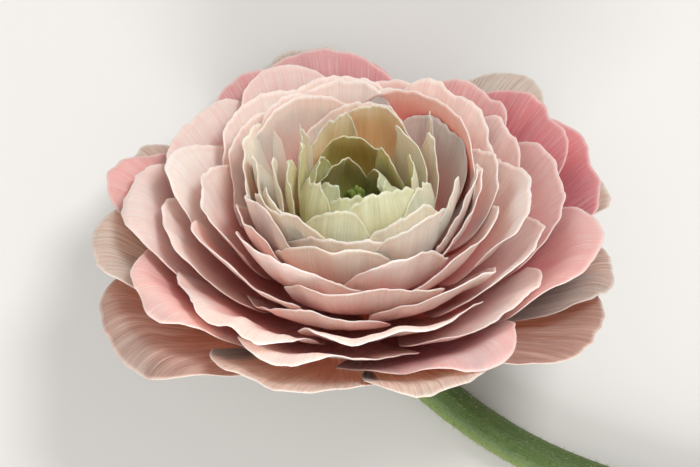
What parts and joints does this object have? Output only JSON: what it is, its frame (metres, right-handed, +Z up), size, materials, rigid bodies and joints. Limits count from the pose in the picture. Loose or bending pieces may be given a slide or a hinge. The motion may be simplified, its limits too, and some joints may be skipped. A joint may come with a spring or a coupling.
{
  "type": "ranunculus flower",
  "caption": "Cut double ranunculus lying down: a domed pink head of overlapping petals round a green heart, leaning on its outer petals, on a short curved green stem.",
  "frame": {"origin": "middle of the flower's box, on the surface that it lies on", "axes": "+X along the longest extent, away from the stem's cut end; the open face looks to -Y; +Z up"},
  "size_m": [0.1256, 0.0912, 0.0594],
  "materials": {
    "guard_petal": "matt, papery, dusty beige pink with fine lengthwise veins",
    "pink_petal": "matt, satin sheen, rose pink with paler margins and fine veins",
    "cream_petal": "matt, satin sheen, cream and peach turning pale green inwards",
    "stem_skin": "green plant skin with fine pale hairs",
    "sepal_skin": "green plant skin, hairy outside, yellow brown inside",
    "heart_skin": "satin green carpels"
  },
  "bodies": {
    "root": {"stem": "stem_skin", "heart": "heart_skin", "inner_petals": "cream_petal", "sepal_1": "sepal_skin", "sepal_2": "sepal_skin", "sepal_3": "sepal_skin", "sepal_4": "sepal_skin", "sepal_5": "sepal_skin", "petal_01": "guard_petal", "petal_02": "guard_petal", "petal_03": "guard_petal", "petal_04": "guard_petal", "petal_05": "guard_petal", "petal_06": "guard_petal", "petal_07": "guard_petal", "petal_08": "guard_petal", "petal_09": "guard_petal", "petal_10": "guard_petal", "petal_11": "guard_petal", "petal_12": "pink_petal", "petal_13": "pink_petal", "petal_14": "pink_petal", "petal_15": "pink_petal", "petal_16": "pink_petal", "petal_17": "pink_petal", "petal_18": "pink_petal", "petal_19": "pink_petal", "petal_20": "pink_petal", "petal_21": "pink_petal", "petal_22": "pink_petal", "petal_23": "pink_petal", "petal_24": "pink_petal", "petal_25": "pink_petal", "petal_26": "pink_petal", "petal_27": "pink_petal", "petal_28": "pink_petal", "petal_29": "pink_petal", "petal_30": "pink_petal", "petal_31": "pink_petal", "petal_32": "pink_petal", "petal_33": "pink_petal", "petal_34": "pink_petal", "petal_35": "pink_petal", "petal_36": "pink_petal", "petal_37": "pink_petal", "petal_38": "pink_petal", "petal_39": "pink_petal", "petal_40": "pink_petal", "petal_41": "pink_petal", "petal_42": "pink_petal", "petal_43": "pink_petal", "petal_44": "pink_petal", "petal_45": "pink_petal", "petal_46": "pink_petal", "petal_47": "pink_petal", "petal_48": "pink_petal", "petal_49": "pink_petal", "petal_50": "pink_petal", "petal_51": "pink_petal", "petal_52": "pink_petal"}
  },
  "joints": []
}
